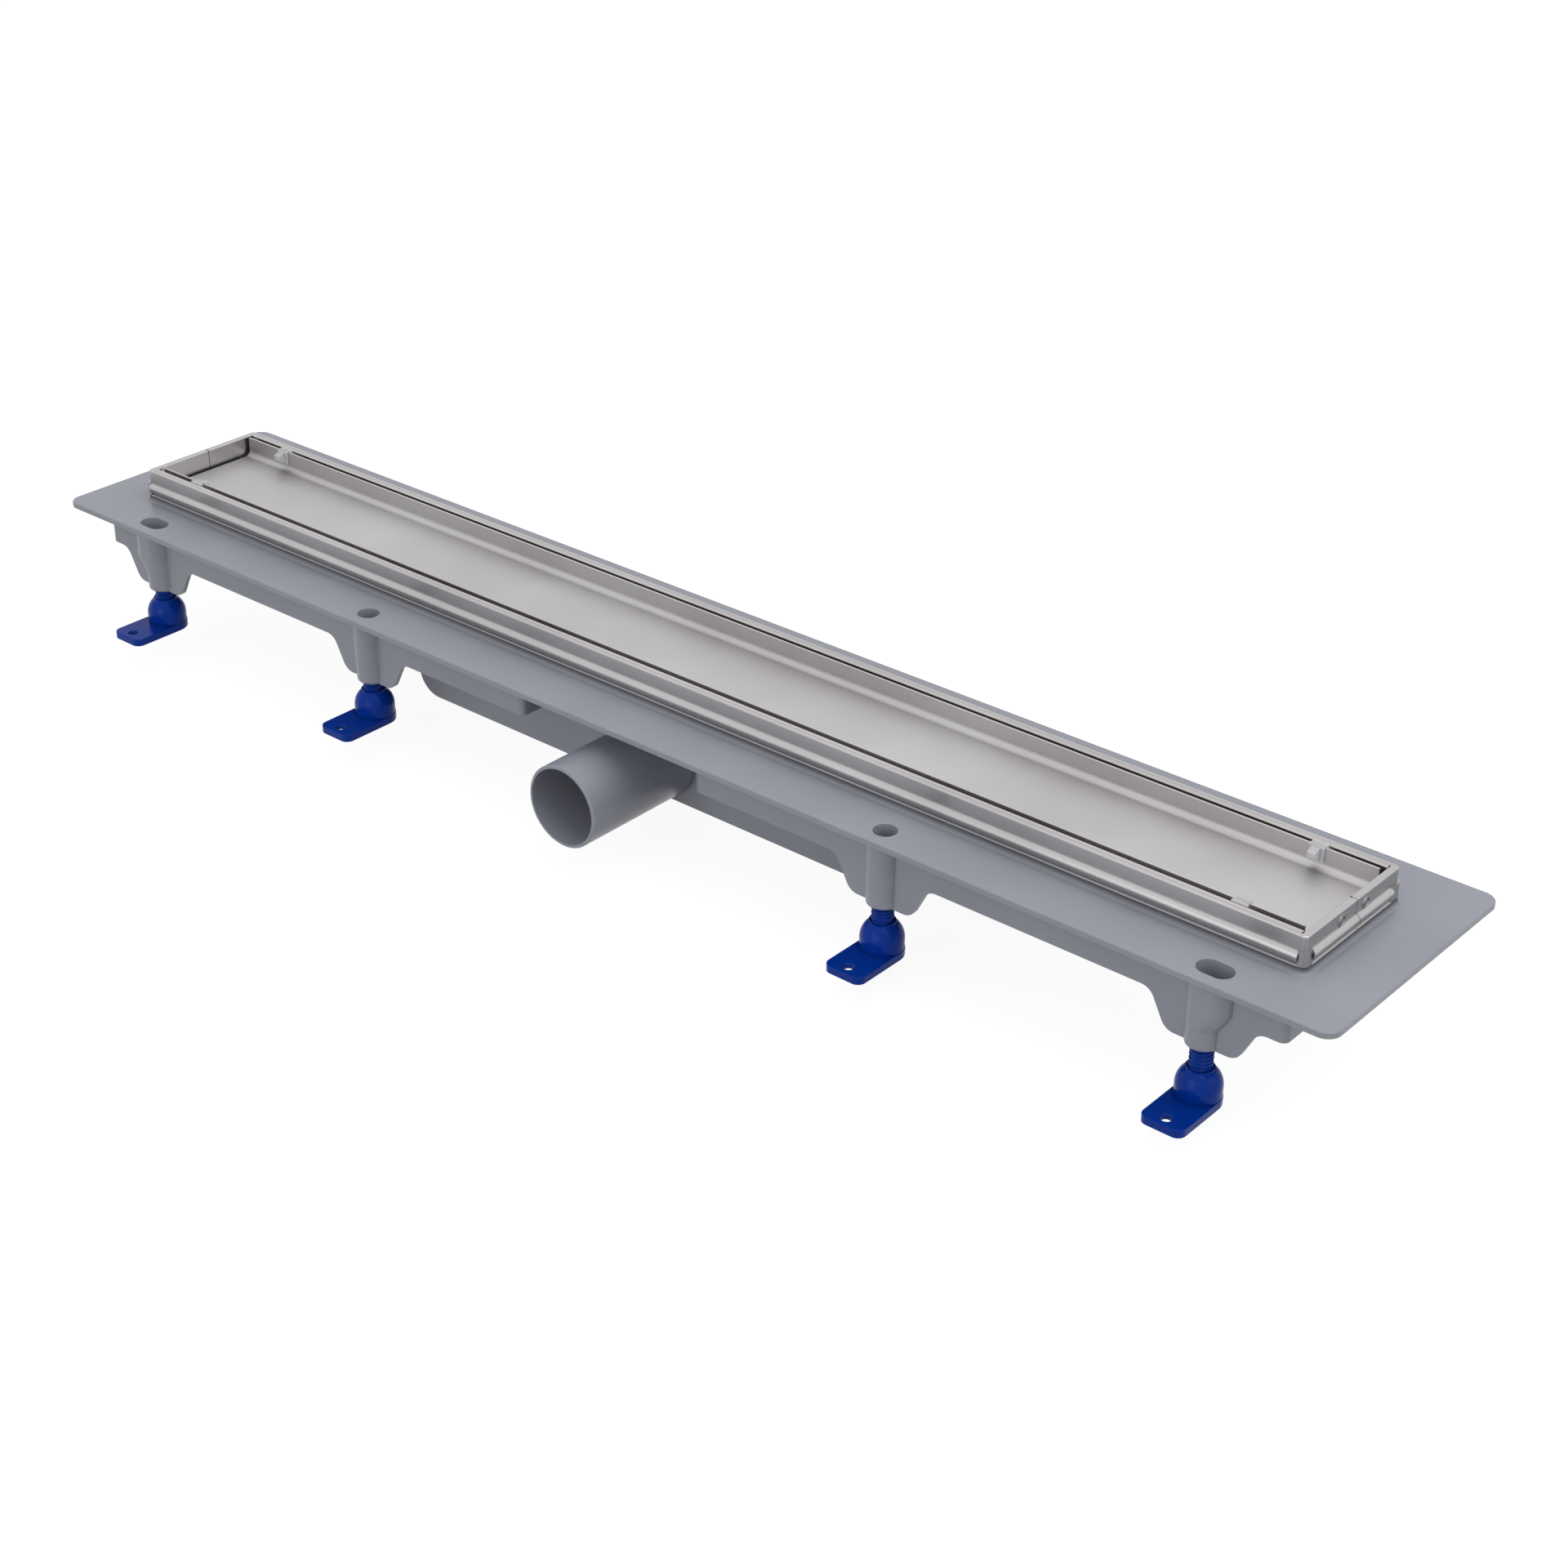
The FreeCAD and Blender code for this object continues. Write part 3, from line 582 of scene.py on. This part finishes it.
@dataclass
class Channel:
    """The grey moulding that carries everything."""

    node: str = "channel_body"

    def build(self, shop: Workshop) -> None:
        """Dress the moulding."""
        shop.dress(self.node, CHANNEL_PLASTIC)


@dataclass
class StainlessFrame:
    """The frame's two halves, the splice plates and the rails inside it."""

    halves: tuple[str, ...] = ("frame_front_half", "frame_rear_half")
    plates: tuple[str, ...] = ("splice_plate_left", "splice_plate_right")
    rails: tuple[str, ...] = ("side_rail_front", "side_rail_rear")

    def build(self, shop: Workshop) -> None:
        """Dress the halves, plates and rails."""
        for node in self.halves + self.plates:
            shop.dress(node, FRAME_STEEL)
        for node in self.rails:
            shop.dress(node, RAIL_STEEL)


@dataclass
class FrameMarks:
    """The frame's spot welds, the nicks in its rim and its corner walls. Sizes in metres."""

    bead_reach: float = 0.0028
    weld_from_middle: float = 0.0115
    weld_below_rim: float = 0.0056
    weld_profile: tuple[tuple[float, float], ...] = (
        (0.0034, -0.0001), (0.0032, 0.0002), (0.0029, 0.00045), (0.0025, 0.00045),
        (0.0021, 0.00002), (0.0016, 0.00002), (0.0012, 0.0003), (0.0, 0.00035))
    weld_steps: int = 24
    nick_length: float = 0.0013
    nick_width: float = 0.0009
    nick_height: float = 0.0001
    nick_inward: float = 0.0036
    seam_offset: float = 0.0025
    corner_radius: float = 0.0025
    corner_bulge: float = 0.0013
    corner_sheet: float = 0.0016
    corner_below_rim: tuple[float, float] = (0.0166, 0.0082)
    side_gap: float = 0.0035
    end_gaps: dict[Row, float] = field(
        default_factory=lambda: {Row.FRONT: 0.0053, Row.REAR: 0.0088})
    arc_steps: int = 8

    def build(self, shop: Workshop) -> None:
        """Add two welds and one nick at each end of the frame, and a wall at each corner."""
        low, high = (Vector(corner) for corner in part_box("frame_front_half"))
        for end, face in (("left", low.x + self.bead_reach), ("right", high.x - self.bead_reach)):
            outward = math.copysign(1, face)
            for side in Row:
                centre = Vector((face, side.way * self.weld_from_middle,
                                 high.z - self.weld_below_rim))
                shop.place(f"spot_weld_{end}_{side.value}", self.weld_mesh(centre, outward),
                           WELD_STEEL, "frame_front_half")
            centre = Vector((face - outward * self.nick_inward, self.seam_offset, high.z))
            shop.place(f"rim_nick_{end}", self.nick_mesh(centre), SEAM_STEEL, "frame_front_half")
            for side in Row:
                node = f"frame_{side.value}_half"
                shop.place(f"corner_wall_{side.value}_{end}", self.corner_mesh(node, side, outward),
                           FRAME_STEEL, node)

    def corner_mesh(self, node: str, side: Row, outward: float) -> bpy.types.Mesh:
        """Bend a strip of wall round one corner, between the ends of the two beads.

        Args:
            node: The CAD node of the frame's half.
            side: Which half it is, front or rear.
            outward: 1 or -1, the way that the frame's end looks along X.

        Returns:
            The strip's mesh.
        """
        low, high = (Vector(corner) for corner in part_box(node))
        across = side.way
        corner = Vector((high.x - self.bead_reach if outward > 0 else low.x + self.bead_reach,
                         high.y - self.bead_reach if across > 0 else low.y + self.bead_reach, 0))
        bottom, top = (high.z - below for below in self.corner_below_rim)
        rows = []
        for offset in (self.corner_bulge, self.corner_bulge - self.corner_sheet):
            row = [(self.side_gap, -offset)]
            for step in range(self.arc_steps + 1):
                angle = math.pi / 2 * step / self.arc_steps
                radius = self.corner_radius + offset
                row.append((self.corner_radius - radius * math.sin(angle),
                            self.corner_radius - radius * math.cos(angle)))
            row.append((-offset, self.end_gaps[side]))
            rows.append(row)
        work = bmesh.new()
        outline = [
            work.verts.new((corner.x - outward * inward_x, corner.y - across * inward_y, bottom))
            for inward_x, inward_y in rows[0] + rows[1][::-1]]
        grown = bmesh.ops.extrude_face_region(work, geom=[work.faces.new(outline)])["geom"]
        raised = [item for item in grown if isinstance(item, bmesh.types.BMVert)]
        bmesh.ops.translate(work, verts=raised, vec=(0, 0, top - bottom))
        bmesh.ops.recalc_face_normals(work, faces=work.faces)
        return as_mesh(work, f"corner_wall_{side.value}")

    def weld_mesh(self, centre: Vector, outward: float) -> bpy.types.Mesh:
        """Turn the weld's ring and button about the end face's normal.

        Args:
            centre: The weld's middle, on the face.
            outward: 1 or -1, the way that the face looks along X.

        Returns:
            The weld's mesh.
        """
        work = bmesh.new()
        line = [work.verts.new((centre.x + outward * rise, centre.y + reach, centre.z))
                for reach, rise in self.weld_profile]
        edges = [work.edges.new(pair) for pair in zip(line, line[1:])]
        bmesh.ops.spin(work, geom=line + edges, cent=centre, axis=(outward, 0, 0), angle=math.tau,
                       steps=self.weld_steps)
        bmesh.ops.remove_doubles(work, verts=work.verts, dist=MERGE_REACH)
        bmesh.ops.holes_fill(work, edges=[edge for edge in work.edges if edge.is_boundary], sides=0)
        bmesh.ops.recalc_face_normals(work, faces=work.faces)
        return as_mesh(work, "spot_weld")

    def nick_mesh(self, centre: Vector) -> bpy.types.Mesh:
        """Make the dark nick where the two halves meet at the rim's inner edge.

        Args:
            centre: The nick's middle, on the rim.

        Returns:
            The nick's mesh.
        """
        return block((self.nick_length, self.nick_width, self.nick_height), centre, "rim_nick")


@dataclass
class TileTray:
    """The tray for the tile and the clips that keep it central."""

    node: str = "tile_tray"
    clips: tuple[str, ...] = ("tray_spacer_front_left", "tray_spacer_front_right",
                              "tray_spacer_rear_left", "tray_spacer_rear_right")

    def build(self, shop: Workshop) -> None:
        """Dress the tray and its clips."""
        shop.dress(self.node, TRAY_STEEL)
        for node in self.clips:
            shop.dress(node, SPACER_PLASTIC)


@dataclass
class Trap:
    """The trap that lifts out of the sump."""

    def build(self, shop: Workshop) -> None:
        """Dress the cup, lid and seal."""
        shop.dress("trap_cup", TRAP_PLASTIC)
        shop.dress("trap_lid", TRAP_PLASTIC)
        shop.dress("trap_seal", SEAL_RUBBER, smooth_angle=60.0)


@dataclass
class ScrewFoot:
    """One foot: a base with dome and tongue, and the threaded screw in it. Sizes in metres."""

    row: Row
    number: int
    pitch: float = 0.0025
    root_depth: float = 0.0007
    radius: float = 0.0062
    plain_end: float = 0.006
    steps: int = 40
    tongue_thickness: float = 0.0045
    hole_from_tip: float = 0.0065
    hole_radius: float = 0.00275
    sink_radius: float = 0.0035
    sink_depth: float = 0.0007
    pocket_depth: float = 0.0015
    pocket_length: float = 0.011
    pocket_width: float = 0.019
    slot_width: float = 0.0016
    slot_depth: float = 0.0025
    slot_over: float = 0.001
    cut_over: float = 0.0005
    cone_sides: int = 48
    flank_heights: tuple[float, float, float] = (0.3, 0.5, 0.75)
    smooth_angle: float = 40.0

    def build(self, shop: Workshop) -> None:
        """Dress the base and make the threaded screw."""
        tag = f"{self.row.value}_{self.number}"
        node = "foot_base_" + tag
        base = shop.merged_copy(node)
        for cutter in self.tongue_cutters(node):
            base = shop.cut(base, cutter)
        shop.add(node + "_dressed", base, FOOT_PLASTIC, node)
        node = "foot_screw_" + tag
        screw = shop.cut(self.screw_mesh(node), self.slot_cutter(node))
        shop.add(f"threaded_screw_{tag}", screw, FOOT_PLASTIC, node, self.smooth_angle)

    def slot_cutter(self, node: str) -> bpy.types.Mesh:
        """Make the drive slot in the screw's top.

        Args:
            node: The CAD node of the screw.

        Returns:
            The mesh to cut away.
        """
        low, high = (Vector(corner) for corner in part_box(node))
        size = (high.x - low.x + self.slot_over, self.slot_width, self.slot_depth + self.slot_over)
        centre = ((low.x + high.x) / 2, (low.y + high.y) / 2,
                  high.z + (self.slot_over - self.slot_depth) / 2)
        return block(size, centre, "slot")

    def tongue_cutters(self, node: str) -> list[bpy.types.Mesh]:
        """Make the countersink of the tongue's hole and the pocket under the tongue.

        Args:
            node: The CAD node of the base.

        Returns:
            The two meshes to cut away.
        """
        low, high = (Vector(corner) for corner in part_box(node))
        tip = high.y - self.hole_from_tip if self.row is Row.REAR else low.y + self.hole_from_tip
        middle = Vector(((low.x + high.x) / 2, tip, low.z))
        top = middle.z + self.tongue_thickness
        cone = bmesh.new()
        slope = (self.sink_radius - self.hole_radius) / self.sink_depth
        over = self.cut_over
        bmesh.ops.create_cone(
            cone, cap_ends=True, segments=self.cone_sides, radius1=self.hole_radius,
            radius2=self.sink_radius + slope * over, depth=self.sink_depth + over,
            matrix=Matrix.Translation((middle.x, middle.y, top + (over - self.sink_depth) / 2)))
        pocket = block((self.pocket_width, self.pocket_length, self.pocket_depth + over),
                       (middle.x, middle.y, middle.z + (self.pocket_depth - over) / 2), "pocket")
        return [as_mesh(cone, "sink"), pocket]

    def screw_mesh(self, node: str) -> bpy.types.Mesh:
        """Make the screw by turning a toothed line about its axis while it climbs one pitch.

        Args:
            node: The CAD node whose box gives the screw's place.

        Returns:
            The screw's mesh.
        """
        low, high = (Vector(corner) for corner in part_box(node))
        axis = Vector(((low.x + high.x) / 2, (low.y + high.y) / 2, 0))
        root = self.radius - self.root_depth
        bottom = low.z + self.plain_end
        turns = int((high.z - bottom) / self.pitch) - 1
        work = bmesh.new()
        points = []
        foot, crest, crest_end = self.flank_heights
        for tooth in range(turns):
            base = bottom + tooth * self.pitch
            points += [(root, base), (root, base + self.pitch * foot),
                       (self.radius, base + self.pitch * crest),
                       (self.radius, base + self.pitch * crest_end)]
        points.append((root, bottom + turns * self.pitch))
        line = [work.verts.new((axis.x + reach, axis.y, height)) for reach, height in points]
        edges = [work.edges.new(pair) for pair in zip(line, line[1:])]
        bmesh.ops.spin(work, geom=line + edges, cent=axis, axis=(0, 0, 1), angle=math.tau,
                       dvec=(0, 0, self.pitch / self.steps), steps=self.steps)
        bmesh.ops.remove_doubles(work, verts=work.verts, dist=THREAD_MERGE_REACH)
        rims = [edge for edge in work.edges if edge.is_boundary]
        upper = [edge for edge in rims if edge.verts[0].co.z > (low.z + high.z) / 2]
        lower = [edge for edge in rims if edge.verts[0].co.z <= (low.z + high.z) / 2]
        for loop, height in ((upper, high.z), (lower, low.z)):
            grown = bmesh.ops.extrude_edge_only(work, edges=loop)["geom"]
            moved = [item for item in grown if isinstance(item, bmesh.types.BMVert)]
            for vert in moved:
                vert.co.z = height
        bmesh.ops.holes_fill(work, edges=[edge for edge in work.edges if edge.is_boundary], sides=0)
        bmesh.ops.recalc_face_normals(work, faces=work.faces)
        return as_mesh(work, node + "_thread")


@dataclass
class PhotoCamera:
    """The photograph's camera, as fitted to the object. Lengths in metres."""

    place: Vector = field(default_factory=lambda: Vector((0.96424, -1.06172, 0.71400)))
    right: Vector = field(default_factory=lambda: Vector((0.762298, 0.647172, 0.008456)))
    down: Vector = field(default_factory=lambda: Vector((0.319510, -0.364922, -0.874497)))
    forward: Vector = field(default_factory=lambda: Vector((-0.562864, 0.669329, -0.484957)))
    focal_pixels: float = 3407.85
    picture_pixels: float = 1920.0
    sensor: float = 36.0
    clip_start: float = 0.05
    clip_end: float = 60.0

    def build(self) -> None:
        """Create the camera and make it the scene's."""
        data = bpy.data.cameras.new("photo_camera")
        data.sensor_width = self.sensor
        data.sensor_fit = "HORIZONTAL"
        data.lens = self.focal_pixels / self.picture_pixels * self.sensor
        data.clip_start = self.clip_start
        data.clip_end = self.clip_end
        camera = bpy.data.objects.new("photo_camera", data)
        turn = Matrix((self.right, -self.down, -self.forward)).transposed().to_4x4()
        camera.matrix_world = Matrix.Translation(self.place) @ turn
        bpy.context.scene.collection.objects.link(camera)
        bpy.context.scene.camera = camera


@dataclass(frozen=True)
class Panel:
    """One soft square lamp. Lengths in metres, power in watts."""

    name: str
    place: tuple[float, float, float]
    aim: tuple[float, float, float]
    size: float
    power: float


@dataclass
class Studio:
    """The floor, the world and the lamps. Lengths in metres."""

    floor_reach: float = 12.0
    foot_travel: float = 0.014
    floor_tone: float = 0.28
    floor_glow: float = 0.9
    floor_roughness: float = 0.9
    sky_light: float = 0.52
    panels: tuple[Panel, ...] = (
        Panel("overhead_panel", (0.9, 0.1, 2.0), (0.2, 0.0, 0.0), 2.2, 16.5),
        Panel("front_panel", (0.2, -2.6, 0.7), (0.0, 0.0, -0.05), 1.6, 12.0),
        Panel("side_panel", (2.4, 0.2, 1.2), (0.0, 0.0, -0.05), 1.2, 4.0),
    )

    def build(self) -> None:
        """Build the floor, the world and the lamps, and set the plain view."""
        self.build_floor()
        self.build_world()
        for panel in self.panels:
            self.build_panel(panel)
        bpy.context.scene.view_settings.view_transform = "Standard"

    def seen_mask(self, nodes: bpy.types.Nodes, links: bpy.types.NodeLinks) -> bpy.types.NodeSocket:
        """Return a value of 1 for rays that look at, reflect or pass to the background."""
        path = nodes.new("ShaderNodeLightPath")
        seen = path.outputs["Is Camera Ray"]
        for ray in ("Is Glossy Ray", "Is Transmission Ray"):
            larger = nodes.new("ShaderNodeMath")
            larger.operation = "MAXIMUM"
            links.new(seen, larger.inputs[0])
            links.new(path.outputs[ray], larger.inputs[1])
            seen = larger.outputs["Value"]
        return seen

    def build_floor(self) -> None:
        """Lay a pale floor where the lowest foot stands when it is screwed right out."""
        work = bmesh.new()
        bmesh.ops.create_grid(work, x_segments=1, y_segments=1, size=self.floor_reach)
        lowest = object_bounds()[0][2] - self.foot_travel
        bmesh.ops.translate(work, verts=work.verts, vec=(0, 0, lowest))
        mesh = as_mesh(work, "studio_floor")
        floor = bpy.data.objects.new("studio_floor", mesh)
        bpy.context.scene.collection.objects.link(floor)
        material = bpy.data.materials.new("studio_floor")
        material.use_nodes = True
        nodes, links = material.node_tree.nodes, material.node_tree.links
        shader = nodes["Principled BSDF"]
        shader.inputs["Base Color"].default_value = (self.floor_tone,) * 3 + (1.0,)
        shader.inputs["Roughness"].default_value = self.floor_roughness
        shader.inputs["Specular IOR Level"].default_value = 0.0
        shader.inputs["Emission Color"].default_value = (1, 1, 1, 1)
        strength = nodes.new("ShaderNodeMath")
        strength.operation = "MULTIPLY"
        strength.inputs[1].default_value = self.floor_glow
        links.new(self.seen_mask(nodes, links), strength.inputs[0])
        links.new(strength.outputs["Value"], shader.inputs["Emission Strength"])
        mesh.materials.append(material)
        floor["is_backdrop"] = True

    def build_world(self) -> None:
        """Make the world white to look at and a plain soft light on the object."""
        world = bpy.data.worlds.new("studio_world")
        bpy.context.scene.world = world
        world.use_nodes = True
        nodes, links = world.node_tree.nodes, world.node_tree.links
        background = nodes["Background"]
        background.inputs["Color"].default_value = (1, 1, 1, 1)
        strength = nodes.new("ShaderNodeMapRange")
        strength.inputs["To Min"].default_value = self.sky_light
        strength.inputs["To Max"].default_value = 1.0
        links.new(self.seen_mask(nodes, links), strength.inputs["Value"])
        links.new(strength.outputs["Result"], background.inputs["Strength"])

    def build_panel(self, panel: Panel) -> None:
        """Hang one soft square lamp.

        Args:
            panel: The lamp to hang.
        """
        data = bpy.data.lights.new(panel.name, "AREA")
        data.shape = "SQUARE"
        data.size = panel.size
        data.energy = panel.power
        lamp = bpy.data.objects.new(panel.name, data)
        lamp.location = panel.place
        line = Vector(panel.aim) - Vector(panel.place)
        lamp.rotation_euler = line.to_track_quat("-Z", "Y").to_euler()
        bpy.context.scene.collection.objects.link(lamp)


def main() -> None:
    """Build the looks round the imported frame."""
    logging.basicConfig(level=logging.INFO, format="%(message)s")
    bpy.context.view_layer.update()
    shop = Workshop()
    shop.groups.build()
    Channel().build(shop)
    StainlessFrame().build(shop)
    FrameMarks().build(shop)
    TileTray().build(shop)
    Trap().build(shop)
    for row in Row:
        for number in range(1, FEET_IN_ROW + 1):
            ScrewFoot(row, number).build(shop)
    Studio().build()
    PhotoCamera().build()


if __name__ == "__main__":
    main()
